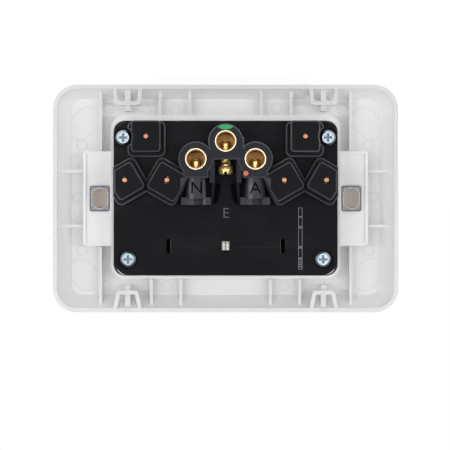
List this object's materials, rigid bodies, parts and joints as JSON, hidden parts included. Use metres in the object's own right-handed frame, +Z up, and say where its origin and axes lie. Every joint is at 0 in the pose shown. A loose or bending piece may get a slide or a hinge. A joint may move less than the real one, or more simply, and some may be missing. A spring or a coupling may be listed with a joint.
{
  "type": "double wall socket",
  "caption": "Flush wall socket plate for flat angled-pin plugs, with rocker switches on its front and a black rear base that carries screw terminals.",
  "frame": {"origin": "in the wall plane, midway between the two fixing holes", "axes": "+X along the plate, to the right as seen from the room; +Y into the wall; +Z up the wall, with the earth slots at the bottom"},
  "size_m": [0.1154, 0.0244, 0.076],
  "materials": {
    "white_plastic": "satin moulded",
    "rocker_plastic": "gloss moulded",
    "black_plastic": "satin moulded",
    "terminal_brass": "turned",
    "screw_brass": "turned",
    "strip_brass": "rolled",
    "contact_bronze": "rolled copper alloy",
    "contact_silver": "silver alloy",
    "zinc_steel": "zinc plated",
    "plated_steel": "plated sheet",
    "spring_steel": "drawn wire"
  },
  "bodies": {
    "housing": {"cover_plate": "white_plastic", "front_housing": "white_plastic", "rear_base": "black_plastic", "fixing_insert_left": "plated_steel", "fixing_insert_right": "plated_steel", "earth_strip": "strip_brass", "neutral_strip": "strip_brass", "active_strip": "strip_brass", "base_screw_low_left": "zinc_steel", "base_screw_low_right": "zinc_steel", "base_screw_high_left": "zinc_steel", "base_screw_high_right": "zinc_steel", "terminal_neutral": "terminal_brass", "terminal_active": "terminal_brass", "terminal_earth": "terminal_brass", "load_strap_left": "strip_brass", "active_contact_left": "contact_bronze", "neutral_contact_left": "contact_bronze", "earth_contact_left": "contact_bronze", "fixed_rivet_left": "contact_silver", "load_strap_right": "strip_brass", "active_contact_right": "contact_bronze", "neutral_contact_right": "contact_bronze", "earth_contact_right": "contact_bronze", "fixed_rivet_right": "contact_silver"},
    "switch_left": {"rocker_left": "rocker_plastic", "plunger_left": "rocker_plastic", "switch_spring_left": "spring_steel"},
    "lever_left": {"seesaw_left": "strip_brass", "moving_rivet_left": "contact_silver"},
    "switch_right": {"rocker_right": "rocker_plastic", "plunger_right": "rocker_plastic", "switch_spring_right": "spring_steel"},
    "lever_right": {"seesaw_right": "strip_brass", "moving_rivet_right": "contact_silver"},
    "clamp_neutral": {"terminal_screw_neutral": "screw_brass"},
    "clamp_active": {"terminal_screw_active": "screw_brass"},
    "clamp_earth": {"terminal_screw_earth": "screw_brass"}
  },
  "joints": [
    {"name": "rocker_left_tilt", "type": "hinge", "parent": "housing", "child": "switch_left", "pos_m": [-0.0094, -0.007, 0.0158], "axis": [1, 0, 0], "range_deg": [0, 14]},
    {"name": "rocker_right_tilt", "type": "hinge", "parent": "housing", "child": "switch_right", "pos_m": [0.0094, -0.007, 0.0158], "axis": [1, 0, 0], "range_deg": [0, 14]},
    {"name": "lever_left_tilt", "type": "hinge", "parent": "housing", "child": "lever_left", "pos_m": [-0.0094, -0.0003, 0.0158], "axis": [1, 0, 0], "range_deg": [-14, 0]},
    {"name": "lever_right_tilt", "type": "hinge", "parent": "housing", "child": "lever_right", "pos_m": [0.0094, -0.0003, 0.0158], "axis": [1, 0, 0], "range_deg": [-14, 0]},
    {"name": "clamp_neutral_travel", "type": "slide", "parent": "housing", "child": "clamp_neutral", "axis": [0, 0, 1], "range_m": [-0.002, 0.0032]},
    {"name": "clamp_active_travel", "type": "slide", "parent": "housing", "child": "clamp_active", "axis": [0, 0, 1], "range_m": [-0.002, 0.0032]},
    {"name": "clamp_earth_travel", "type": "slide", "parent": "housing", "child": "clamp_earth", "axis": [0, 0, 1], "range_m": [-0.002, 0.0032]}
  ],
  "couplings": [
    {"joint": "lever_left_tilt", "follows": "rocker_left_tilt", "ratio": -1},
    {"joint": "lever_right_tilt", "follows": "rocker_right_tilt", "ratio": -1}
  ]
}
